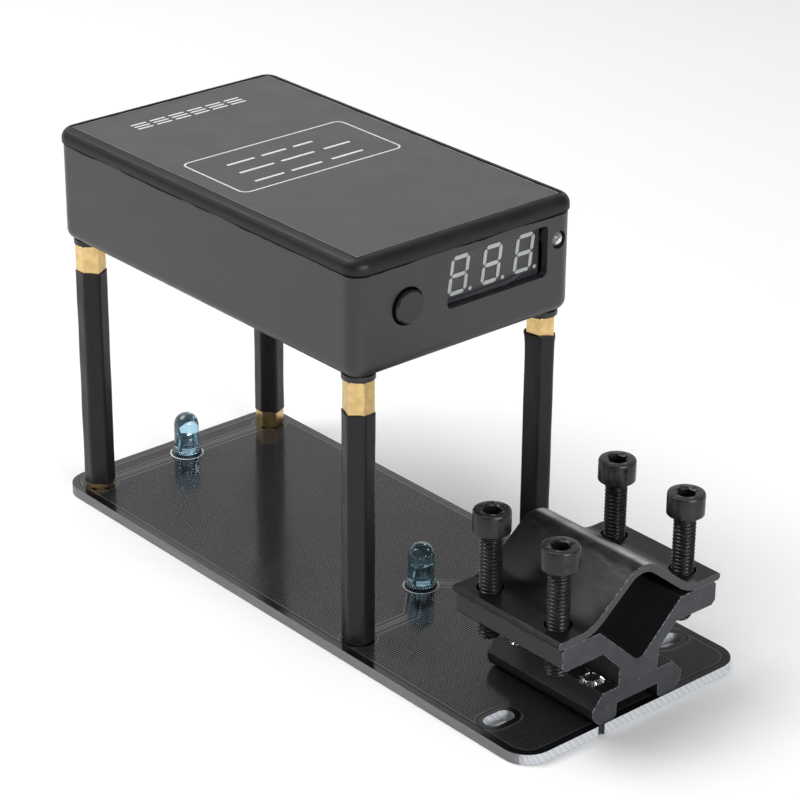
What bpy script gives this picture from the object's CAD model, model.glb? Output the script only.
"""Looks of the two-gate speed tester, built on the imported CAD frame. Lengths are in metres."""

import math
import random

import bpy
from mathutils import Matrix, Vector


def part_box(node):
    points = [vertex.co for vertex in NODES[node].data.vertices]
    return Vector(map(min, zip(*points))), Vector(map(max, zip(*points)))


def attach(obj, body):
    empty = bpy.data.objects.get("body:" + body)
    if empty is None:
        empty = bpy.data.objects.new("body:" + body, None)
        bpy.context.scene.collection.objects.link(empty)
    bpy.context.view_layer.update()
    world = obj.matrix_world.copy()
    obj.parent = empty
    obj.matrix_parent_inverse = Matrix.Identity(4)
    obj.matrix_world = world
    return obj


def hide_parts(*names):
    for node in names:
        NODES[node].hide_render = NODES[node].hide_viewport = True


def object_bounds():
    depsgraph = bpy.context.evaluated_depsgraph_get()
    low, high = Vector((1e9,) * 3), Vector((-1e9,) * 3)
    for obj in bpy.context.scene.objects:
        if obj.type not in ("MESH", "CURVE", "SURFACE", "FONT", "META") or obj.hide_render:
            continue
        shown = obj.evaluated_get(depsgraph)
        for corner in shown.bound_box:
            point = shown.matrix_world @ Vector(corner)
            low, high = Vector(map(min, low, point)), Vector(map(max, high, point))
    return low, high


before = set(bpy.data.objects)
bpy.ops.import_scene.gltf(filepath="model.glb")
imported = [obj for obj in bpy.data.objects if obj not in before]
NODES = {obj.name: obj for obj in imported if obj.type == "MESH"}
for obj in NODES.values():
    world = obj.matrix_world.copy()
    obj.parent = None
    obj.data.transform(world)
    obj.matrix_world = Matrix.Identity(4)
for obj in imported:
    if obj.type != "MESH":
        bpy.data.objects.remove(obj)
CAD_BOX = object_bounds()
MM = 0.001
TAU = 2 * math.pi
CORNERS = ("rear_left", "rear_right", "front_left", "front_right")
LEAD_HALF = 1.27  # half the pitch of a lamp's leads, in mm


def middle(name):
    low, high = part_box(name)
    return (low + high) / 2


# ---- camera ----

CAMERA_AT = Vector((-296.2, -345.6, 251.4)) * MM
CAMERA_TURN = -0.715  # radians round Z from looking along +Y
CAMERA_TILT = 0.443  # radians above the horizon
CAMERA_ROLL = 0.008
CAMERA_LENS = 126.14  # mm on a 36 mm sensor


def make_camera():
    back = Vector(
        (
            math.sin(CAMERA_TURN) * math.cos(CAMERA_TILT),
            -math.cos(CAMERA_TURN) * math.cos(CAMERA_TILT),
            math.sin(CAMERA_TILT),
        )
    )
    level = (-back).cross(Vector((0, 0, 1))).normalized()
    upright = level.cross(-back)
    right = math.cos(CAMERA_ROLL) * level + math.sin(CAMERA_ROLL) * upright
    up = math.cos(CAMERA_ROLL) * upright - math.sin(CAMERA_ROLL) * level
    data = bpy.data.cameras.new("camera")
    data.lens = CAMERA_LENS
    data.sensor_width = 36
    data.clip_start = 0.01
    camera = bpy.data.objects.new("camera", data)
    bpy.context.scene.collection.objects.link(camera)
    turn = Matrix((right, up, back)).transposed().to_4x4()
    camera.matrix_world = Matrix.Translation(CAMERA_AT) @ turn
    bpy.context.scene.camera = camera


make_camera()

# ---- materials ----


class Look:
    """A Principled material, with the node patterns that the surfaces share."""

    def __init__(self, name, color, rough, **sockets):
        self.mat = bpy.data.materials.new(name)
        self.mat.use_nodes = True
        self.tree = self.mat.node_tree
        self.tree.nodes.clear()
        out = self.node("OutputMaterial")
        self.bsdf = self.node("BsdfPrincipled")
        self.tree.links.new(self.bsdf.outputs[0], out.inputs["Surface"])
        self.put("Base Color", (*color, 1))
        self.put("Roughness", rough)
        for socket, value in sockets.items():
            self.put(socket.replace("_", " "), value)
        self.place = None
        self.normal = None

    def node(self, kind, **settings):
        made = self.tree.nodes.new("ShaderNode" + kind)
        for key, value in settings.items():
            setattr(made, key, value)
        return made

    def feed(self, socket, value):
        """Links a socket, or sets its number or colour."""
        if isinstance(value, bpy.types.NodeSocket):
            self.tree.links.new(value, socket)
        else:
            socket.default_value = value

    def put(self, name, value):
        self.feed(self.bsdf.inputs[name], value)

    def where(self):
        if self.place is None:
            self.place = self.node("TexCoord").outputs["Object"]
        return self.place

    def math(self, kind, a, b=0.0, c=0.0, clamp=False):
        made = self.node("Math", operation=kind, use_clamp=clamp)
        for socket, given in zip(made.inputs, (a, b, c)):
            self.feed(socket, given)
        return made.outputs[0]

    def vector(self, kind, a, b=None, output=0):
        made = self.node("VectorMath", operation=kind)
        self.feed(made.inputs[0], a)
        if b is not None:
            self.feed(made.inputs["Scale" if kind == "SCALE" else 1], b)
        return made.outputs[output]

    def split(self, value):
        """The X, Y and Z of a vector."""
        made = self.node("SeparateXYZ")
        self.feed(made.inputs[0], value)
        return made.outputs

    def facing(self):
        """The X, Y and Z of the surface's true normal."""
        return self.split(self.node("NewGeometry").outputs["True Normal"])

    def ramp(self, value, low, high, start=0.0, end=1.0):
        """value from low to high becomes start to end, eased, and flat outside."""
        made = self.node("MapRange", interpolation_type="SMOOTHSTEP")
        for socket, given in zip(made.inputs, (value, low, high, start, end)):
            self.feed(socket, given)
        return made.outputs[0]

    def mix(self, amount, a, b):
        made = self.node("Mix", data_type="RGBA")
        self.feed(made.inputs[0], amount)
        self.feed(made.inputs[6], a if hasattr(a, "links") else (*a, 1))
        self.feed(made.inputs[7], b if hasattr(b, "links") else (*b, 1))
        return made.outputs[2]

    def noise(self, size, detail=3.0, stretch=(1, 1, 1), rough=0.55):
        """Noise with features of about size millimetres, drawn out along each axis by stretch."""
        spot = self.where()
        if stretch != (1, 1, 1):
            spot = self.vector("DIVIDE", spot, stretch)
        made = self.node("TexNoise")
        self.feed(made.inputs["Vector"], spot)
        made.inputs["Scale"].default_value = 1 / (size * MM)
        made.inputs["Detail"].default_value = detail
        made.inputs["Roughness"].default_value = rough
        return made.outputs[0]

    def specks(self, size, low, high):
        """1 at scattered specks, 0 elsewhere."""
        made = self.node("TexVoronoi")
        self.feed(made.inputs["Vector"], self.where())
        made.inputs["Scale"].default_value = 1 / (size * MM)
        return self.ramp(made.outputs["Distance"], low, high, 1.0, 0.0)

    def soften(self, radius):
        """Rounds the shading of sharp edges by radius millimetres."""
        made = self.node("Bevel", samples=4)
        made.inputs["Radius"].default_value = radius * MM
        self.normal = made.outputs[0]

    def edges(self, radius, low=0.02, high=0.25):
        """1 along sharp edges within radius millimetres of them."""
        round_normal = self.node("Bevel", samples=4)
        round_normal.inputs["Radius"].default_value = radius * MM
        flat = self.node("NewGeometry").outputs["True Normal"]
        match = self.vector("DOT_PRODUCT", round_normal.outputs[0], flat, output=1)
        return self.ramp(self.math("SUBTRACT", 1.0, match), low, high)

    def bump(self, height, depth, strength=1.0):
        """Raises the surface by depth millimetres where height is 1."""
        made = self.node("Bump")
        made.inputs["Strength"].default_value = strength
        made.inputs["Distance"].default_value = depth * MM
        self.feed(made.inputs["Height"], height)
        if self.normal is not None:
            self.feed(made.inputs["Normal"], self.normal)
        self.normal = made.outputs[0]

    def done(self):
        if self.normal is not None:
            self.put("Normal", self.normal)
        return self.mat


def moulded(name, color, rough, **extra):
    return moulding(name, color, rough, **extra)[0].done()


def moulding(name, color, rough, grain=0.12, grain_depth=0.006, soft=0.12, spread=0.06):
    """Moulded plastic: spark-eroded grain, faint flow marks, rounded arrises."""
    look = Look(name, color, rough)
    look.soften(soft)
    look.bump(look.noise(grain, 2), grain_depth, 0.5)
    look.bump(look.noise(9, 2, (1, 1, 0.4)), 0.02, 0.25)
    patchy = look.noise(6, 4)
    look.put("Roughness", look.ramp(patchy, 0.3, 0.7, rough - spread, rough + spread))
    dust = look.specks(2.6, 0.015, 0.03)
    lighter = tuple(2.2 * c for c in color)
    tone = look.mix(look.ramp(patchy, 0.25, 0.75), color, tuple(1.25 * c for c in color))
    tone = look.mix(dust, tone, lighter)
    look.put("Base Color", tone)
    return look, tone


COOL = (0.97, 0.955, 1.0, 1)  # the faint violet of reflections in black plastic


def case_look():
    """The moulded case, with the dark gap that shows in places under the lid."""
    look, tone = moulding("case_abs", (0.0205, 0.02, 0.0225), 0.33)
    look.put("Specular Tint", COOL)
    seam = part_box("case_body")[1].z
    drop = look.math("SUBTRACT", seam, look.split(look.where())[2])
    depth = look.ramp(look.noise(9, 2), 0.35, 0.65, 0.28 * MM, 0.6 * MM)
    gap = look.ramp(look.math("DIVIDE", drop, depth), 0.8, 1.1, 1.0, 0.0)
    look.put("Base Color", look.mix(gap, tone, (0.002, 0.002, 0.002)))
    look.put("Specular IOR Level", look.ramp(gap, 0.0, 1.0, 0.5, 0.04))
    return look.done()


def button_look():
    """The button, polished by fingers round its rim."""
    look, tone = moulding("button_abs", (0.008, 0.008, 0.0088), 0.22, soft=0.14)
    rim = look.math("MULTIPLY", look.edges(0.3), look.ramp(look.noise(2.5), 0.35, 0.65))
    look.put("Base Color", look.mix(rim, tone, (0.07, 0.07, 0.074)))
    return look.done()


def border(look, name):
    """Distance in from the edge of a node's box, seen from above, in metres."""
    low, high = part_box(name)
    flat = look.vector("MULTIPLY", look.where(), (1, 1, 0))
    centre = Vector(((low.x + high.x) / 2, (low.y + high.y) / 2, 0))
    half = Vector(((high.x - low.x) / 2, (high.y - low.y) / 2, 0))
    offset = look.vector("ABSOLUTE", look.vector("SUBTRACT", flat, tuple(centre)))
    room = look.split(look.vector("SUBTRACT", tuple(half), offset))
    return look.math("MINIMUM", room[0], room[1])


def lid_look():
    """The lid, with the dark gap round the label."""
    look, tone = moulding("lid_abs", (0.009, 0.0088, 0.01), 0.46)
    gap = look.ramp(border(look, "label_panel"), -0.4 * MM, -0.3 * MM)
    look.put("Specular IOR Level", look.ramp(gap, 0.0, 1.0, 0.27, 0.05))
    look.put("Specular Tint", COOL)
    look.put("Base Color", look.mix(gap, tone, (0.002, 0.002, 0.002)))
    return look.done()


def metal(name, color, rough, scratch=(1, 1, 18), soft=0.08, spread=0.1, worn=None):
    """Metal with drawn or turned streaks, handling blotches and brighter worn edges."""
    look = Look(name, color, rough, Metallic=1.0)
    look.soften(soft)
    streaks = look.noise(0.12, 2, scratch)
    blotch = look.noise(1.7, 4)
    look.bump(streaks, 0.004, 0.6)
    dull = look.math("ADD", look.math("MULTIPLY", streaks, spread), rough - spread)
    look.put("Roughness", look.math("ADD", dull, look.math("MULTIPLY", blotch, spread)))
    deep = tuple(0.8 * c for c in color)
    tone = look.mix(look.ramp(blotch, 0.35, 0.68), deep, color)
    if worn:
        rubbed = look.math("MULTIPLY", look.edges(0.25), look.ramp(look.noise(0.9), 0.4, 0.6))
        tone = look.mix(rubbed, tone, worn)
    look.put("Base Color", tone)
    return look.done()


# The board's copper layout, in millimetres.
BOARD_CORNER = 5.0
HATCH_PITCH = 0.508
HATCH_EDGE = (0.27, 0.34)  # slope at a window's edge, from its middle, in pitches
COPPER_INSET = 1.5  # bare laminate between the board's edge and the copper
OUTLINE = 0.25  # solid copper line round each hatched area
TRACK_HALF = 0.7
TRACK_GAP = 0.55
ELBOW_IN = 1.3  # how far a front track's elbow lies beyond 45 degrees
SLOT_MIDDLE = (20.1, -53.5)
SLOT_HALF = 1.35  # half the straight length of a slot
SLOT_RADIUS = 1.65
SLOT_GAP = 1.2
POST_RING = 3.3
SILK_RING = 3.2
SILK_LINE = 0.14
COPPER_RISE = 0.035
STEP = 0.08  # half the width of the slope where the mask runs over a copper edge
MOAT = 0.3  # thin mask beside each copper edge
NICK = Vector((-8.45, -66.45, 0))  # where the router left the edge
RIPPLE_PITCH = 1.25
FRONT_FADE = (-60, -22)  # along Y, where the gloss is least and full
RIGHT_FADE = (-4, 10)  # along X, where the gloss starts to drop and is least


def board_look():
    """Solder mask over hatched copper on both faces, and glass fibre on the edges."""
    low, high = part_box("base_board")
    posts = [middle(f"standoff_{n}") for n in CORNERS]
    lamps = [middle("gate_led_rear"), middle("gate_led_front")]
    look = Look("board_mask", (0.011, 0.011, 0.0125), 0.14)
    flat = look.vector("MULTIPLY", look.where(), (1000, 1000, 0))

    def span(start, end):
        """Distance in mm to the line from start to end."""
        start, end = Vector((*start, 0)), Vector((*end, 0))
        along = end - start
        offset = look.vector("SUBTRACT", flat, start)
        share = look.vector("DOT_PRODUCT", offset, along / along.length_squared, output=1)
        share = look.math("MULTIPLY", share, 1.0, clamp=True)
        nearest = look.vector("SCALE", tuple(along), share)
        return look.vector("LENGTH", look.vector("SUBTRACT", offset, nearest), output=1)

    def nearest_of(distances):
        best = distances[0]
        for other in distances[1:]:
            best = look.math("MINIMUM", best, other)
        return best

    def spot_mm(point):
        return (point.x / MM, point.y / MM)

    # The board's outline: a rounded box, as a distance that is negative inside.
    half_x = (high.x - low.x) / 2 / MM - BOARD_CORNER
    half_y = (high.y - low.y) / 2 / MM - BOARD_CORNER
    half = Vector((half_x, half_y, 0))
    beyond = look.vector("SUBTRACT", look.vector("ABSOLUTE", flat), tuple(half))
    outside = look.vector("LENGTH", look.vector("MAXIMUM", beyond, (0, 0, 0)), output=1)
    parts = look.split(beyond)
    inside = look.math("MINIMUM", look.math("MAXIMUM", parts[0], parts[1]), 0.0)
    outline = look.math("SUBTRACT", look.math("ADD", outside, inside), BOARD_CORNER)

    # Tracks join each pair of posts through the emitter between them.
    rear_y = spot_mm(lamps[0])[1]
    lamp_y = spot_mm(lamps[1])[1]
    post_x, post_y = spot_mm(posts[3])
    jog = lamp_y - post_y
    tracks = [span((-post_x, rear_y), (post_x, rear_y))]
    for side in (-1, 1):
        elbow = (side * (jog + ELBOW_IN), post_y)
        tracks.append(span((side * LEAD_HALF, lamp_y), elbow))
        tracks.append(span(elbow, (side * post_x, post_y)))
    track = nearest_of(tracks)
    slot_x, slot_y = SLOT_MIDDLE
    slots = nearest_of(
        [span((s * slot_x - SLOT_HALF, slot_y), (s * slot_x + SLOT_HALF, slot_y)) for s in (-1, 1)]
    )

    def round_at(point):
        return look.vector("LENGTH", look.vector("SUBTRACT", flat, (*spot_mm(point), 0)), output=1)

    post = nearest_of([round_at(p) for p in posts])
    lamp = nearest_of([round_at(p) for p in lamps])
    clear = nearest_of(
        [
            look.math("SUBTRACT", look.math("MULTIPLY", outline, -1.0), COPPER_INSET),
            look.math("SUBTRACT", track, TRACK_HALF + TRACK_GAP),
            look.math("SUBTRACT", slots, SLOT_RADIUS + SLOT_GAP),
            look.math("SUBTRACT", post, POST_RING),
        ]
    )

    # Hatching: square windows between copper lines about 0.4 of the pitch wide.
    cell = look.vector("FRACTION", look.vector("SCALE", flat, 1 / HATCH_PITCH))
    off = look.split(look.vector("ABSOLUTE", look.vector("SUBTRACT", cell, (0.5, 0.5, 0))))
    hatch = look.ramp(look.math("MAXIMUM", off[0], off[1]), *HATCH_EDGE)
    full = look.ramp(clear, -STEP, STEP)
    inner = look.ramp(clear, OUTLINE - STEP, OUTLINE + STEP)
    thinned = look.math("MULTIPLY", inner, look.math("SUBTRACT", 1.0, hatch))
    copper = look.math("SUBTRACT", full, thinned, clamp=True)
    strip = look.ramp(track, TRACK_HALF - STEP, TRACK_HALF + STEP, 1.0, 0.0)
    copper = look.math("MAXIMUM", copper, strip)

    def line(distance, start, end):
        """1 where distance lies between start and end, in mm."""
        rise = look.ramp(distance, start - STEP, start + STEP)
        return look.math("MULTIPLY", rise, look.ramp(distance, end - STEP, end + STEP, 1.0, 0.0))

    moat = look.math("MAXIMUM", line(clear, -MOAT, 0.0), line(track, TRACK_HALF, TRACK_HALF + 0.2))
    rim = line(clear, 0.02, OUTLINE + 0.05)
    sheen = look.math("MULTIPLY_ADD", thinned, -0.74, 0.76)

    silk_off = look.math("ABSOLUTE", look.math("SUBTRACT", lamp, SILK_RING))
    silk = look.ramp(silk_off, SILK_LINE - 0.03, SILK_LINE + 0.03, 1.0, 0.0)

    facing = look.facing()
    side = look.ramp(look.math("ABSOLUTE", facing[2]), 0.4, 0.6, 1.0, 0.0)
    above = look.ramp(facing[2], 0.4, 0.6)
    silk = look.math("MULTIPLY", silk, above)
    face = look.math("SUBTRACT", 1.0, side)

    # Edges: router ripples in pale glass fibre, and grey scored edges on the left and right.
    spot = look.split(look.where())
    run = look.math("SUBTRACT", spot[0], spot[1])
    run = look.math("ADD", run, look.math("MULTIPLY", spot[2], 0.8))
    wobble = look.math("MULTIPLY", look.noise(1.5, 2), 0.0011)
    phase = look.math("MULTIPLY", look.math("ADD", run, wobble), TAU / (RIPPLE_PITCH * MM))
    ripple = look.math("MULTIPLY", look.math("SINE", phase), 0.5)
    fibre = look.noise(0.09, 3, (1, 1, 0.35))
    pale = look.mix(look.ramp(fibre, 0.3, 0.7), (0.34, 0.355, 0.38), (0.56, 0.585, 0.62))
    pale = look.mix(look.ramp(ripple, -0.3, 0.5, 0.0, 0.35), pale, (0.68, 0.71, 0.75))
    scored = look.ramp(look.math("ABSOLUTE", facing[0]), 0.75, 0.9)
    sawn = look.mix(look.noise(1.2, 4, (1, 6, 0.5)), (0.13, 0.13, 0.135), (0.25, 0.25, 0.26))
    pale = look.mix(scored, pale, sawn)

    mask = look.mix(copper, (0.005, 0.005, 0.006), (0.022, 0.0215, 0.0225))
    mask = look.mix(rim, mask, (0.034, 0.033, 0.034))
    mask = look.mix(silk, mask, (0.78, 0.78, 0.76))
    nick = look.vector("LENGTH", look.vector("SUBTRACT", flat, tuple(NICK)), output=1)
    nick = look.ramp(nick, 0.72, 0.85, 1.0, 0.0)
    pale = look.mix(nick, pale, (0.02, 0.02, 0.022))
    look.put("Base Color", look.mix(side, mask, pale))
    sheen = look.math("MULTIPLY_ADD", moat, -0.4, sheen)
    sheen = look.math("MULTIPLY_ADD", rim, 0.3, sheen)

    # The gloss fades toward the clamp, and most on its right, as it looks in the photograph.
    place = look.split(flat)
    front = look.ramp(place[1], *FRONT_FADE, 1.0, 0.0)
    right = look.math("MULTIPLY", look.ramp(place[0], *RIGHT_FADE), front)
    sheen = look.math("MULTIPLY", sheen, look.math("MULTIPLY_ADD", front, -0.5, 1.0))
    sheen = look.math("MULTIPLY", sheen, look.math("MULTIPLY_ADD", right, -0.6, 1.0))
    look.put("Specular IOR Level", look.math("MAXIMUM", sheen, 0.02))
    look.put("Specular Tint", COOL)
    smear = look.ramp(look.noise(14, 3), 0.3, 0.75, 0.1, 0.2)
    rough = look.math("MAXIMUM", smear, look.math("MULTIPLY", silk, 0.6))
    rough = look.math("MAXIMUM", rough, look.math("MULTIPLY", side, 0.72))
    look.put("Roughness", rough)
    look.bump(look.math("MULTIPLY", look.math("ADD", copper, silk), face), COPPER_RISE, 0.8)
    routed = look.math("MULTIPLY", side, look.math("SUBTRACT", 1.0, scored))
    waves = look.math("MULTIPLY", ripple, routed)
    look.bump(look.math("ADD", waves, look.math("MULTIPLY", fibre, side)), 0.06, 0.6)
    return look.done()


def film_look():
    """Printed polycarbonate film: even matt face with a fine tooth."""
    look = Look("label_film", (0.03, 0.0295, 0.031), 0.36)
    look.bump(look.noise(0.09, 2), 0.004, 0.6)
    look.bump(look.noise(20, 2), 0.03, 0.2)
    cloud = look.noise(7, 4)
    look.put("Roughness", look.ramp(cloud, 0.3, 0.7, 0.31, 0.4))
    tone = look.mix(look.ramp(cloud, 0.3, 0.7), (0.027, 0.0265, 0.028), (0.034, 0.033, 0.035))
    dust = look.specks(3.3, 0.012, 0.028)
    tone = look.mix(dust, tone, (0.16, 0.16, 0.17))
    cut = look.ramp(border(look, "label_panel"), 0.12 * MM, 0.34 * MM, 1.0, 0.0)
    cut = look.math("MULTIPLY", cut, look.ramp(look.noise(5), 0.35, 0.6, 0.3, 0.9))
    look.put("Base Color", look.mix(cut, tone, (0.3, 0.3, 0.31)))
    look.put("Specular Tint", COOL)
    return look.done()


def ink_look():
    """Screen-printed white ink, a little thin in places."""
    look = Look("white_ink", (0.8, 0.8, 0.79), 0.55)
    thin = look.ramp(look.noise(0.22, 3), 0.28, 0.62)
    look.put("Base Color", look.mix(thin, (0.42, 0.42, 0.42), (0.74, 0.74, 0.73)))
    look.bump(look.noise(0.1, 2), 0.004, 0.6)
    return look.done()


def shrink_look():
    """Heat-shrink tube: near black, satin, faintly wavy along its length."""
    look = Look("shrink_sleeve", (0.012, 0.012, 0.013), 0.34)
    look.put("Specular IOR Level", 0.24)
    look.bump(look.noise(2.4, 3, (1, 1, 2.5)), 0.05, 0.35)
    look.bump(look.noise(0.12, 2), 0.005, 0.5)
    band = look.noise(1.6, 3, (1, 1, 4))
    look.put("Roughness", look.ramp(band, 0.3, 0.7, 0.27, 0.42))
    look.put("Base Color", look.mix(band, (0.009, 0.009, 0.01), (0.018, 0.018, 0.02)))
    return look.done()


def lens_look(name, tint, rough=0.03, clear=1.0):
    """Cast epoxy with a tint, slight swirls and a mould-release haze."""
    look = Look(name, tint, rough, IOR=1.53)
    look.put("Transmission Weight", clear)
    look.bump(look.noise(0.9, 2), 0.02, 0.3)
    look.put("Roughness", look.ramp(look.noise(1.3, 3), 0.35, 0.7, rough * 0.4, rough * 2))
    return look.done()


def block_look():
    """Black-finished extruded block: drawn sides, paler nicked ends and rubbed arrises."""
    look = Look("block_finish", (0.05, 0.052, 0.057), 0.42, Metallic=0.35)
    look.soften(0.18)
    end = look.ramp(look.math("ABSOLUTE", look.facing()[1]), 0.8, 0.95)
    grain = look.noise(0.14, 4)
    drawn = look.noise(0.2, 3, (1, 30, 1))
    mottle = look.noise(2.6, 5)
    dark = look.mix(mottle, (0.012, 0.0125, 0.014), (0.023, 0.024, 0.026))
    worn = look.ramp(mottle, 0.25, 0.8)
    cut = look.mix(worn, (0.027, 0.029, 0.034), (0.045, 0.048, 0.054))
    tone = look.mix(end, dark, cut)
    rubbed = look.math("MULTIPLY", look.edges(0.22), look.ramp(look.noise(0.55, 4), 0.42, 0.58))
    nicks = look.math("MULTIPLY", look.specks(1.7, 0.03, 0.07), end)
    bright = look.math("MAXIMUM", rubbed, look.math("MULTIPLY", nicks, 0.6))
    look.put("Base Color", look.mix(bright, tone, (0.5, 0.51, 0.54)))
    look.put("Roughness", look.ramp(grain, 0.3, 0.7, 0.34, 0.54))
    look.bump(grain, 0.018, 0.5)
    look.bump(look.math("MULTIPLY", drawn, look.math("SUBTRACT", 1.0, end)), 0.014, 0.5)
    return look.done()


def plate_look():
    """Blackened spring steel: satin oxide, a worn line beside the crest and paler cut ends."""
    look = Look("plate_oxide", (0.02, 0.02, 0.021), 0.34, Metallic=0.5)
    look.put("Specular IOR Level", 0.16)
    look.soften(0.2)
    end = look.ramp(look.math("ABSOLUTE", look.facing()[1]), 0.8, 0.95)
    low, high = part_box("clamp_plate")
    spot = look.split(look.where())
    crest = look.ramp(spot[2], high.z - 2.2 * MM, high.z - 0.2 * MM)
    near_top = look.ramp(spot[2], high.z - 1.6 * MM, high.z - 0.8 * MM)
    aside = look.math("SUBTRACT", spot[0], (low.x + high.x) / 2 + 0.9 * MM)
    ridge = look.ramp(look.math("ABSOLUTE", aside), 0.1 * MM, 1.3 * MM, 1.0, 0.0)
    ridge = look.math("MULTIPLY", ridge, near_top)
    ridge = look.math("MULTIPLY", ridge, look.ramp(look.noise(6, 3), 0.3, 0.7, 0.4, 1.0))
    ridge = look.math("MULTIPLY", ridge, look.math("SUBTRACT", 1.0, end))
    mottle = look.noise(2.2, 5)
    scuff = look.ramp(look.noise(1.1, 4, (1, 3, 1)), 0.42, 0.7)
    rub = look.math("MULTIPLY", look.math("MULTIPLY_ADD", crest, 0.035, 0.008), scuff)
    rim = look.math("MULTIPLY", look.edges(0.22), look.ramp(look.noise(0.7, 4), 0.36, 0.6))
    bare = look.math("MAXIMUM", look.math("MAXIMUM", rub, ridge), look.math("MULTIPLY", rim, 0.6))
    tone = look.mix(mottle, (0.009, 0.009, 0.01), (0.017, 0.0165, 0.018))
    tone = look.mix(end, tone, (0.06, 0.06, 0.066))
    look.put("Base Color", look.mix(bare, tone, (0.46, 0.455, 0.46)))
    look.put("Roughness", look.ramp(look.noise(1.4, 4, (1, 3, 1)), 0.25, 0.75, 0.29, 0.35))
    look.bump(look.noise(0.16, 4), 0.012, 0.5)
    look.bump(look.noise(5, 2), 0.05, 0.3)
    return look.done()


def oxide_look():
    """Black oxide on alloy steel: oily sheen, grey on the sharpest edges."""
    look = Look("screw_oxide", (0.03, 0.03, 0.032), 0.3, Metallic=0.8)
    look.soften(0.06)
    rim = look.math("MULTIPLY", look.edges(0.12), look.ramp(look.noise(0.6, 4), 0.45, 0.62))
    oil = look.noise(1.1, 4)
    tone = look.mix(oil, (0.022, 0.022, 0.024), (0.05, 0.05, 0.053))
    look.put("Base Color", look.mix(rim, tone, (0.2, 0.2, 0.21)))
    look.put("Roughness", look.ramp(oil, 0.3, 0.7, 0.22, 0.4))
    look.bump(look.noise(0.1, 3), 0.004, 0.5)
    return look.done()


def laminate_look():
    """Green circuit board with track shadows and paler edges."""
    look = Look("green_board", (0.012, 0.09, 0.035), 0.3)
    brick = look.node("TexBrick")
    look.feed(brick.inputs["Vector"], look.where())
    brick.inputs["Scale"].default_value = 170
    brick.inputs["Mortar Size"].default_value = 0.06
    brick.inputs["Color1"].default_value = (0.01, 0.075, 0.03, 1)
    brick.inputs["Color2"].default_value = (0.014, 0.1, 0.04, 1)
    brick.inputs["Mortar"].default_value = (0.02, 0.15, 0.055, 1)
    look.put("Base Color", brick.outputs[0])
    look.bump(brick.outputs[1], 0.03, 0.6)
    look.put("Roughness", look.ramp(look.noise(3, 3), 0.3, 0.7, 0.24, 0.36))
    return look.done()


def foil_look():
    """Crinkled aluminium-laminate pouch of the cell."""
    look = Look("cell_foil", (0.6, 0.61, 0.63), 0.3, Metallic=0.9)
    look.bump(look.noise(3, 4, (1, 2, 1)), 0.12, 0.5)
    look.put("Roughness", look.ramp(look.noise(1.5, 4), 0.3, 0.7, 0.22, 0.42))
    return look.done()


def foam_look():
    """Open-cell adhesive pad."""
    look = Look("foam_pad", (0.55, 0.53, 0.48), 0.9)
    cells = look.specks(0.5, 0.2, 0.55)
    look.put("Base Color", look.mix(cells, (0.6, 0.58, 0.53), (0.3, 0.29, 0.26)))
    look.bump(cells, -0.15, 0.8)
    return look.done()


def paint(mat, *names):
    for name in names:
        for slot in NODES[name].material_slots:
            slot.material = mat


BRASS = metal("brass", (0.79, 0.56, 0.25), 0.3, (1, 1, 14), 0.12, 0.12, (0.95, 0.78, 0.46))
OXIDE = oxide_look()
INK = ink_look()
SHRINK = shrink_look()
TINNED = metal("tinned_lead", (0.7, 0.71, 0.72), 0.25)
ZINC = metal("zinc_plate", (0.5, 0.5, 0.52), 0.32, (6, 6, 1))
BARE = metal("bare_burr", (0.8, 0.8, 0.82), 0.28, (1, 1, 1))
GLUE = moulded("window_glue", (0.035, 0.036, 0.04), 0.08, grain=0.8, grain_depth=0.05, spread=0.04)

paint(board_look(), "base_board")
paint(BRASS, *[f"standoff_{n}" for n in CORNERS], "thread_inserts")
paint(ZINC, "base_screws", "rail_screws", "board_screws")
paint(TINNED, "contact_wires", "gate_led_leads")
paint(moulded("washer_nylon", (0.011, 0.011, 0.012), 0.42), "standoff_washers")
paint(case_look(), "case_body")
paint(lid_look(), "case_lid")
paint(button_look(), "button_cap")
paint(film_look(), "label_panel")
paint(laminate_look(), "main_board", "front_board")
MOULDING = moulded("black_moulding", (0.014, 0.014, 0.015), 0.45)
paint(MOULDING, "board_header", "tact_switch", "switch_plunger")
paint(moulded("display_epoxy", (0.026, 0.027, 0.031), 0.3, spread=0.05), "display_module")
segment_look = moulded("segment_epoxy", (0.3, 0.315, 0.305), 0.38, soft=0.05)
paint(segment_look, "display_segments")
paint(lens_look("receiver_lens", (0.05, 0.045, 0.06)), "receiver_rear", "receiver_front")
paint(moulded("chip_epoxy", (0.02, 0.02, 0.021), 0.5), "controller_chip", "charger_chip")
paint(foil_look(), "battery_cell")
paint(foam_look(), "battery_pad")
paint(metal("socket_steel", (0.62, 0.63, 0.65), 0.24, (8, 1, 1)), "charge_socket")
paint(block_look(), "clamp_block")
paint(plate_look(), "clamp_plate")

# ---- mesh helpers ----


def make_mesh(name, points, faces, mat, body="frame", smooth=40):
    mesh = bpy.data.meshes.new(name)
    mesh.from_pydata([tuple(p) for p in points], [], faces)
    mesh.validate()
    mesh.polygons.foreach_set("use_smooth", [True] * len(mesh.polygons))
    mesh.set_sharp_from_angle(angle=math.radians(smooth))
    mesh.materials.append(mat)
    piece = bpy.data.objects.new(name, mesh)
    bpy.context.scene.collection.objects.link(piece)
    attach(piece, body)
    return piece


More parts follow.
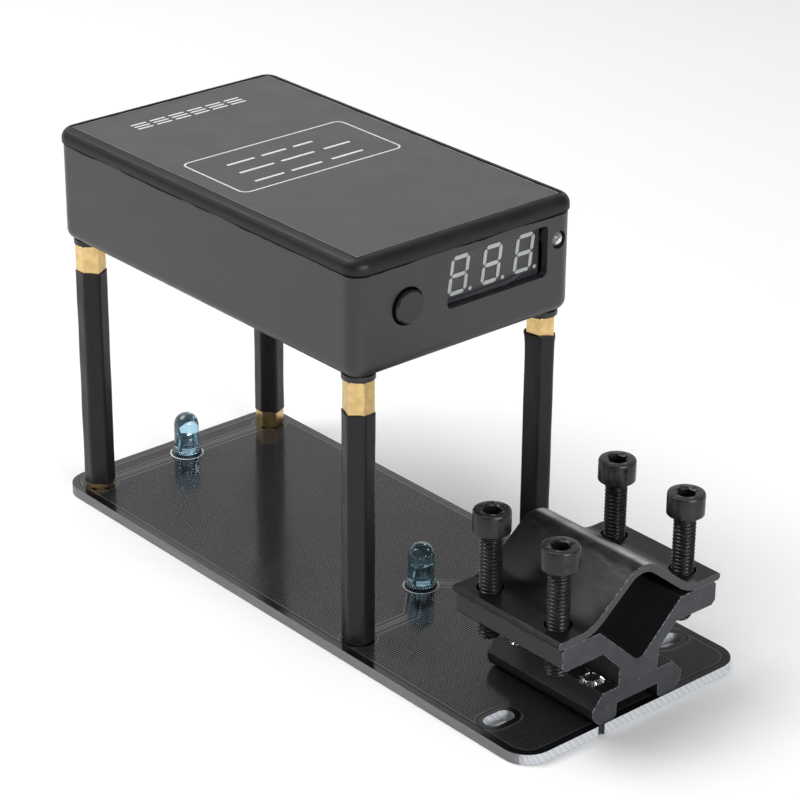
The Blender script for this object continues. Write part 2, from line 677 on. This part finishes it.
def loft(rings, closed=False):
    """Points and faces of a tube through rings of equal size, capped unless its ends meet."""
    count = len(rings[0])
    points = [p for ring in rings for p in ring]
    faces = []
    for i in range(len(rings) if closed else len(rings) - 1):
        a, b = i * count, ((i + 1) % len(rings)) * count
        for j in range(count):
            k = (j + 1) % count
            faces.append((a + j, a + k, b + k, b + j))
    if not closed:
        faces.append(tuple(range(count))[::-1])
        last = (len(rings) - 1) * count
        faces.append(tuple(range(last, last + count)))
    return points, faces


def merge(*solids):
    """Several (points, faces) as one."""
    points, faces = [], []
    for some_points, some_faces in solids:
        base = len(points)
        points += some_points
        faces += [tuple(base + i for i in face) for face in some_faces]
    return points, faces


def around(centre, radius, angle, height):
    """A point at a radius and angle round the vertical line through centre."""
    x = centre[0] + radius * math.cos(angle)
    y = centre[1] + radius * math.sin(angle)
    return Vector((x, y, height))


def turned(centre, profile, count=48):
    """Rings of a turned shape: profile is (radius, height) in metres, from its lower end up."""
    return [
        [around(centre, radius, TAU * i / count, height) for i in range(count)]
        for radius, height in profile
    ]


def hexagon(angle, across, turn=0.0, most=None):
    """Radius of a hexagon at an angle, with its corners cut back to most."""
    sector = (angle - turn) % (TAU / 6) - TAU / 12
    radius = across / 2 / math.cos(sector)
    return min(radius, most) if most else radius


# ---- screws of the clamp ----

THREAD_PITCH = 0.7 * MM
THREAD_DEPTH = 0.3 * MM
THREAD_RADIUS = 1.97 * MM
HEAD_HEIGHT = 4.0 * MM
SOCKET_TURNS = (0.35, 0.9, 0.1, 0.62)  # radians, in the order of CORNERS
SOCKET_ACROSS = 3.0 * MM
SOCKET_DEPTH = 2.2 * MM
THREAD_STEPS = 8  # rings for each turn of the thread
AROUND = 36


def thread_rings(centre, bottom, top, radius, pitch, depth, run_out):
    """Rings of a threaded rod with a chamfered tip and a plain run-out under the head."""
    rings = []
    steps = round((top - bottom) / pitch * THREAD_STEPS)
    for step in range(steps + 1):
        height = bottom + (top - bottom) * step / steps
        tip = radius - depth - 0.15 * MM + (height - bottom)
        fade = min(1.0, max(0.0, (top - height) / run_out))
        ring = []
        for i in range(AROUND):
            turn = (height / pitch - i / AROUND) % 1.0
            flank = min(1.0, max(0.0, abs(turn - 0.5) * 2.6 - 0.15))
            reach = min(radius - depth * flank * fade, tip)
            ring.append(around(centre, reach, TAU * i / AROUND, height))
        rings.append(ring)
    return rings


def socket_head(centre, bottom, top, radius, turn):
    """Rings of a cap head with a hexagon socket, from its underside round into the socket."""
    count = 48
    chamfer = 0.35 * MM
    steps = [
        ("round", radius - 0.15 * MM, bottom),
        ("round", radius, bottom + 0.15 * MM),
        ("round", radius, top - chamfer),
        ("round", radius - 0.12 * MM, top - 0.1 * MM),
        ("round", radius - chamfer, top),
        ("round", SOCKET_ACROSS / 2 + 0.42 * MM, top),
        ("hex", SOCKET_ACROSS, top - 0.25 * MM),
        ("hex", SOCKET_ACROSS, top - SOCKET_DEPTH),
        ("round", 0.2 * MM, top - SOCKET_DEPTH - 0.7 * MM),
    ]
    rings = []
    for kind, size, height in steps:
        ring = []
        for i in range(count):
            angle = TAU * i / count
            reach = hexagon(angle, size, turn) if kind == "hex" else size
            ring.append(around(centre, reach, angle, height))
        rings.append(ring)
    return rings


def clamp_screw(corner, turn):
    name = f"clamp_screw_{corner}"
    low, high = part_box(name)
    centre = middle(name)
    seat = high.z - HEAD_HEIGHT
    shank = thread_rings(
        centre, low.z, seat, THREAD_RADIUS, THREAD_PITCH, THREAD_DEPTH, 1.6 * THREAD_PITCH
    )
    cap = socket_head(centre, seat, high.z, (high.x - low.x) / 2, turn)
    points, faces = merge(loft(shank), loft(cap))
    piece = make_mesh(
        f"clamp_bolt_{corner}", points, faces, OXIDE, f"screw_{corner}", 32
    )
    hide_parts(name)


for corner, turn in zip(CORNERS, SOCKET_TURNS):
    clamp_screw(corner, turn)

# ---- rail screw tips with the burrs they raised ----


def burr_ring(centre, base, inner, outer, seed):
    """A ragged lip of raised metal round a screw tip."""
    chance = random.Random(seed)
    count = 44
    rise = [0.08 + 0.75 * chance.random() ** 3 for _ in range(count)]
    reach = [chance.random() for _ in range(count)]
    rings = []
    for radius_share, height_share in ((0.0, -0.1), (0.15, 1.0), (0.5, 0.75), (1.0, -0.1)):
        ring = []
        for i in range(count):
            wide = inner + (outer - inner) * radius_share * (0.35 + 0.65 * reach[i])
            height = base + rise[i] * MM * height_share
            ring.append(around(centre, wide, TAU * i / count, height))
        rings.append(ring)
    return loft(rings, closed=True)


RAIL_SCREW_RADIUS = 1.25 * MM
RAIL_HEAD_RADIUS = 2.3 * MM
BURR_REACH = 1.15 * MM


def rail_tips():
    low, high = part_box("rail_screws")
    foot_top = high.z - 0.4 * MM
    radius = RAIL_SCREW_RADIUS
    inset = RAIL_HEAD_RADIUS
    solids = []
    for i, x in enumerate((low.x + inset, high.x - inset)):
        for j, y in enumerate((low.y + inset, high.y - inset)):
            solids.append(
                burr_ring((x, y), foot_top, radius + 0.02 * MM, radius + BURR_REACH, 5 + 2 * i + j)
            )
    points, faces = merge(*solids)
    make_mesh("rail_screw_burrs", points, faces, BARE, "frame", 20)


rail_tips()

# ---- sleeves of the posts ----

POST_ACROSS = 4.85 * MM
SLEEVE_WALL = 0.2 * MM
# For each post: turn of the hexagon in degrees, rise of the torn end in mm, its flare in mm.
SLEEVE_SHAPES = {
    "rear_left": (25.7, 0.25, 0.05),
    "rear_right": (20.0, 0.2, 0.05),
    "front_left": (10.8, 0.3, 0.06),
    "front_right": (45.8, 1.1, 0.3),
}


def sleeve(corner, seed):
    turn_degrees, torn, flare = SLEEVE_SHAPES[corner]
    node = f"sleeve_{corner}"
    low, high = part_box(node)
    centre = middle(node)
    turn = math.radians(turn_degrees)
    chance = random.Random(seed)
    waves = [
        (chance.uniform(0, TAU), chance.uniform(0.5, 1.4), chance.randint(1, 3)) for _ in range(4)
    ]
    across = POST_ACROSS + 2 * SLEEVE_WALL
    corner_reach = across / 2 * 1.115
    count, rows = 48, 40
    torn_side = math.radians(190)

    def ring(share, inner):
        made = []
        for i in range(count):
            angle = TAU * i / count
            top_end = max(0.0, share - 0.965) / 0.035
            low_end = max(0.0, 0.03 - share) / 0.03
            lift = (
                torn * MM * (0.5 + 0.5 * math.cos(angle - torn_side)) * top_end
                + 0.12 * MM * math.sin(3 * angle + waves[0][0]) * (top_end + low_end)
            )
            height = low.z + (high.z - low.z) * share + lift
            ripple = sum(
                math.sin(p + f * (height - low.z) / (2.2 * MM) + k * angle) for p, f, k in waves
            )
            spread = flare * MM * top_end**2 * (0.6 + 0.4 * math.cos(angle - torn_side))
            reach = hexagon(angle, across, turn, corner_reach) + 0.012 * MM * ripple + spread
            if inner:
                reach -= SLEEVE_WALL * 0.8
            made.append(around(centre, reach, angle, height))
        return made

    shares = [i / rows for i in range(rows + 1)]
    shares[1:1] = [0.008]
    shares[-1:-1] = [0.972, 0.984, 0.993]
    outer = [ring(s, False) for s in shares]
    inside = [ring(s, True) for s in (1.0, 0.984, 0.5, 0.008, 0.0)]
    points, faces = loft(outer + inside, closed=True)
    piece = make_mesh(f"post_sleeve_{corner}", points, faces, SHRINK, "frame", 50)
    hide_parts(node)


for seed, corner in enumerate(CORNERS):
    sleeve(corner, 11 + seed)

# ---- emitters ----

LENS = lens_look("emitter_lens", (0.5, 0.8, 0.97), 0.02, 0.96)


def dome_profile(low_z, high_z, radius, flange, flange_h):
    """(radius, height) of a 5 mm style lens with its flange and domed top."""
    steps = 14
    dome = high_z - radius
    profile = [
        (flange - 0.12 * MM, low_z),
        (flange, low_z + 0.1 * MM),
        (flange, low_z + flange_h - 0.1 * MM),
        (flange - 0.1 * MM, low_z + flange_h),
        (radius + 0.12 * MM, low_z + flange_h),
        (radius, low_z + flange_h + 0.1 * MM),
    ]
    profile += [
        (
            max(radius * math.cos(math.pi / 2 * i / steps), 0.02 * MM),
            dome + radius * math.sin(math.pi / 2 * i / steps),
        )
        for i in range(steps + 1)
    ]
    return profile


def bar(points, width, depth):
    """A stamped strip through points, with chamfered long edges."""
    rings = []
    w, d, c = width / 2, depth / 2, min(width, depth) * 0.18
    outline = [
        (-w + c, -d), (w - c, -d), (w, -d + c), (w, d - c),
        (w - c, d), (-w + c, d), (-w, d - c), (-w, -d + c),
    ]
    for x, y, z, scale in points:
        rings.append([Vector((x + a * scale, y + b, z)) for a, b in outline])
    return loft(rings)


def emitter(name):
    node = f"gate_led_{name}"
    low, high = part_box(node)
    spot = middle(node)
    radius, flange = 2.45 * MM, (high.x - low.x) / 2
    rings = turned(spot, dome_profile(low.z, high.z, radius, flange, 0.95 * MM), 64)
    # The cathode side of the flange is cut flat.
    for ring in rings[:4]:
        for point in ring:
            point.x = min(point.x, spot.x + flange - 0.32 * MM)
    points, faces = loft(rings)
    lens = make_mesh(f"emitter_lens_{name}", points, faces, LENS, "frame", 45)
    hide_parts(node)


def lead_frame(spot, base):
    """Cup and post of one emitter, with the die and its bond wire."""
    x, y = spot.x, spot.y
    cup_top = base + 4.4 * MM
    anvil = bar(
        [
            (x - LEAD_HALF * MM, y, 0.3 * MM, 1.0),
            (x - LEAD_HALF * MM, y, base + 2.3 * MM, 1.0),
            (x - 0.62 * MM, y, base + 2.7 * MM, 3.2),
            (x - 0.42 * MM, y, base + 3.5 * MM, 3.2),
        ],
        0.5 * MM,
        0.5 * MM,
    )
    cup = turned(
        (x - 0.3 * MM, y),
        [
            (0.7 * MM, base + 3.3 * MM),
            (0.95 * MM, base + 3.5 * MM),
            (1.05 * MM, cup_top),
            (0.95 * MM, cup_top),
            (0.45 * MM, cup_top - 0.5 * MM),
        ],
        28,
    )
    post = bar(
        [
            (x + LEAD_HALF * MM, y, 0.3 * MM, 1.0),
            (x + LEAD_HALF * MM, y, base + 2.2 * MM, 1.0),
            (x + 1.15 * MM, y, base + 2.6 * MM, 1.9),
            (x + 1.05 * MM, y, base + 4.3 * MM, 1.3),
        ],
        0.5 * MM,
        0.5 * MM,
    )
    foot = turned(
        (x, y),
        [
            (1.6 * MM, base + 0.12 * MM),
            (2.15 * MM, base + 0.2 * MM),
            (2.35 * MM, base + 0.42 * MM),
            (1.9 * MM, base + 0.5 * MM),
            (1.2 * MM, base + 0.46 * MM),
        ],
        40,
    )
    return [anvil, loft(cup), post, loft(foot)]


for name in ("rear", "front"):
    emitter(name)
board_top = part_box("base_board")[1].z
frames = [s for n in ("rear", "front") for s in lead_frame(middle(f"gate_led_{n}"), board_top)]
points, faces = merge(*frames)
leads = make_mesh("emitter_lead_frames", points, faces, TINNED, "frame", 30)
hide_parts("gate_led_leads")

# ---- indicator lamp in the front wall ----

LAMP_LENGTH = 3.2 * MM
PALE_LENS = lens_look("indicator_epoxy", (0.34, 0.34, 0.35), 0.14, 0.6)


def indicator():
    """A 3 mm lamp lying along Y, with its cup inside and its two leads behind."""
    low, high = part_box("indicator_led")
    spot = middle("indicator_led")
    back = low.y + LAMP_LENGTH

    def laid(rings):
        return [[Vector((spot.x + p.x, back - p.z, spot.z + p.y)) for p in r[::-1]] for r in rings]

    lens_profile = dome_profile(0, LAMP_LENGTH, 1.5 * MM, (high.x - low.x) / 2, 1.0 * MM)
    points, faces = loft(laid(turned((0, 0), lens_profile, 40)))
    lens = make_mesh("indicator_lens", points, faces, PALE_LENS, "frame", 45)
    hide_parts("indicator_led")
    cup_profile = [
        (0.3 * MM, 0.2 * MM),
        (0.55 * MM, 0.4 * MM),
        (0.85 * MM, LAMP_LENGTH - 1.5 * MM),
        (0.7 * MM, LAMP_LENGTH - 1.5 * MM),
        (0.3 * MM, LAMP_LENGTH - 2.0 * MM),
    ]
    solids = [loft(laid(turned((0, 0), cup_profile, 24)))]
    for side in (-1, 1):
        z = spot.z + side * LEAD_HALF * MM
        corners = [(-0.22, -0.22), (0.22, -0.22), (0.22, 0.22), (-0.22, 0.22)]
        ends = [
            [Vector((spot.x + a * MM, y, z + b * MM)) for a, b in corners]
            for y in (high.y, back - 0.3 * MM)
        ]
        solids.append(loft(ends))
    points, faces = merge(*solids)
    make_mesh("indicator_cup", points, faces, TINNED, "frame", 30)


indicator()

# ---- label print ----


def rounded_outline(x0, x1, y0, y1, radius, steps=8):
    """Points round a rounded rectangle."""
    made = []
    for cx, cy, start in (
        (x1 - radius, y0 + radius, -90),
        (x1 - radius, y1 - radius, 0),
        (x0 + radius, y1 - radius, 90),
        (x0 + radius, y0 + radius, 180),
    ):
        for i in range(steps + 1):
            angle = math.radians(start + 90 * i / steps)
            made.append((cx + radius * math.cos(angle), cy + radius * math.sin(angle)))
    return made


def ink_band(outer, inner, bottom, top):
    rings = [
        [Vector((*p, bottom)) for p in outer],
        [Vector((*p, top)) for p in outer],
        [Vector((*p, top)) for p in inner],
        [Vector((*p, bottom)) for p in inner],
    ]
    return loft(rings, closed=True)


# The frame, and blank rules in place of lettering: left, right, height up the label and
# thickness, in mm. Heights are from the label's front edge.
FRAME_X = (-19.4, 17.3)
FRAME_Y = (34.7, 53.2)
FRAME_CORNER = 1.7
TITLE_BLOCKS = [-14.3 + 4.3 * i for i in range(6)]
RULES = [(x, x + 3.5, 72.6 + 1.15 * row, 0.5) for x in TITLE_BLOCKS for row in range(3)]
RULES += [(a, b, 47.3, 0.6) for a, b in ((-13.2, -7.0), (-5.4, 0.2), (1.8, 6.3))]
RULES += [(a, b, 42.9, 0.6) for a, b in ((-13.8, -6.0), (-4.4, 3.2), (5.4, 11.5))]
RULES += [(a, b, 38.0, 0.6) for a, b in ((-14.2, -7.6), (-6.0, 1.0), (3.2, 10.5))]


def label_print():
    """A rounded frame in white ink, with blank rules where a data plate has its lines."""
    low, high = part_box("label_panel")
    line, ink = 0.35 * MM, 0.02 * MM
    x0, x1 = FRAME_X[0] * MM, FRAME_X[1] * MM
    y0, y1 = low.y + FRAME_Y[0] * MM, low.y + FRAME_Y[1] * MM
    radius = FRAME_CORNER * MM
    outer = rounded_outline(x0, x1, y0, y1, radius)
    inner = rounded_outline(x0 + line, x1 - line, y0 + line, y1 - line, radius - line)
    solids = [ink_band(outer, inner, high.z - ink, high.z + ink)]
    for left, right, level, thick in RULES:
        rule = rounded_outline(
            left * MM, right * MM, low.y + level * MM, low.y + (level + thick) * MM, 0.2 * MM, 3
        )
        rings = [[Vector((*p, high.z + lift)) for p in rule] for lift in (-ink, ink)]
        solids.append(loft(rings))
    points, faces = merge(*solids)
    make_mesh("label_frame_print", points, faces, INK, "frame", 30)


label_print()

# ---- glue bead under the display ----

WINDOW_MIDDLE = 6.9
WINDOW_HALF = 11.6
WINDOW_LEFT = (WINDOW_MIDDLE - WINDOW_HALF) * MM
WINDOW_RIGHT = (WINDOW_MIDDLE + WINDOW_HALF) * MM
WINDOW_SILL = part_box("case_body")[0].z + 7.9 * MM


def window_bead():
    """The uneven bead that holds the display module, along the sill and up at its right end."""
    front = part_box("display_module")[0].y
    chance = random.Random(3)
    count, steps = 12, 72
    left, right = WINDOW_LEFT + 0.5 * MM, WINDOW_RIGHT - 2.6 * MM
    rings = []
    thick = 0.4
    for i in range(steps + 1):
        share = i / steps
        thick = min(0.62, max(0.3, thick + chance.uniform(-0.06, 0.06)))
        taper = min(1.0, 6 * share + 0.1, 5 * (1 - share) + 0.1)
        radius = thick * taper * MM
        x = left + (right - left) * share
        height = WINDOW_SILL + (0.25 + 1.1 * max(0.0, share - 0.72) / 0.28) * MM
        ring = []
        for j in range(count):
            angle = TAU * j / count
            out = radius * 0.7 * math.cos(angle)
            ring.append(Vector((x, front - out, height + radius * math.sin(angle))))
        rings.append(ring)
    points, faces = loft(rings)
    make_mesh("window_bead", points, faces, GLUE, "frame", 60)


window_bead()

# ---- floor and light ----


def make_floor():
    size = 3.0
    mesh = bpy.data.meshes.new("floor")
    mesh.from_pydata(
        [(-size, -size, 0), (size, -size, 0), (size, size, 0), (-size, size, 0)],
        [],
        [(0, 1, 2, 3)],
    )
    look = Look("floor_paper", (0.9, 0.9, 0.9), 0.9)
    look.put("Specular IOR Level", 0.1)
    look.put("Base Color", look.mix(look.noise(60, 2), (0.9, 0.9, 0.9), (0.92, 0.92, 0.92)))
    mesh.materials.append(look.done())
    floor = bpy.data.objects.new("floor", mesh)
    floor.location.z = CAD_BOX[0].z - 0.05 * MM
    bpy.context.scene.collection.objects.link(floor)


def panel_light(name, at, power, width, height, target=(0, 0, 0.03)):
    data = bpy.data.lights.new(name, "AREA")
    data.shape = "RECTANGLE"
    data.size, data.size_y = width, height
    data.energy = power
    light = bpy.data.objects.new(name, data)
    light.location = at
    aim = Vector(target) - Vector(at)
    light.rotation_euler = aim.to_track_quat("-Z", "Y").to_euler()
    bpy.context.scene.collection.objects.link(light)


def make_world():
    """A studio that is white behind the object and grey in front of it and overhead."""
    world = bpy.data.worlds.new("studio")
    bpy.context.scene.world = world
    world.use_nodes = True
    tree = world.node_tree
    tree.nodes.clear()
    out = tree.nodes.new("ShaderNodeOutputWorld")
    back = tree.nodes.new("ShaderNodeBackground")
    spot = tree.nodes.new("ShaderNodeTexCoord")
    lean = tree.nodes.new("ShaderNodeVectorMath")
    lean.operation = "DOT_PRODUCT"
    lean.inputs[1].default_value = (0.3, 0.8, -0.3)
    fade = tree.nodes.new("ShaderNodeMapRange")
    fade.interpolation_type = "SMOOTHSTEP"
    for socket, value in zip(fade.inputs[1:5], (-0.1, 0.6, 0.14, 0.85)):
        socket.default_value = value
    tree.links.new(spot.outputs["Generated"], lean.inputs[0])
    tree.links.new(lean.outputs["Value"], fade.inputs[0])
    tree.links.new(fade.outputs[0], back.inputs["Strength"])
    back.inputs["Color"].default_value = (1.0, 1.0, 1.0, 1)
    tree.links.new(back.outputs[0], out.inputs[0])


make_floor()
make_world()
panel_light("key", (-0.1, -0.95, 0.38), 8, 0.6, 0.35)
panel_light("back", (-0.28, 0.38, 0.7), 5, 0.5, 0.5, (-0.16, 0.2, 0))
panel_light("top", (0.1, 0.2, 1.0), 2, 0.8, 0.6)
bpy.context.scene.view_settings.view_transform = "Standard"
bpy.context.scene.view_settings.look = "None"
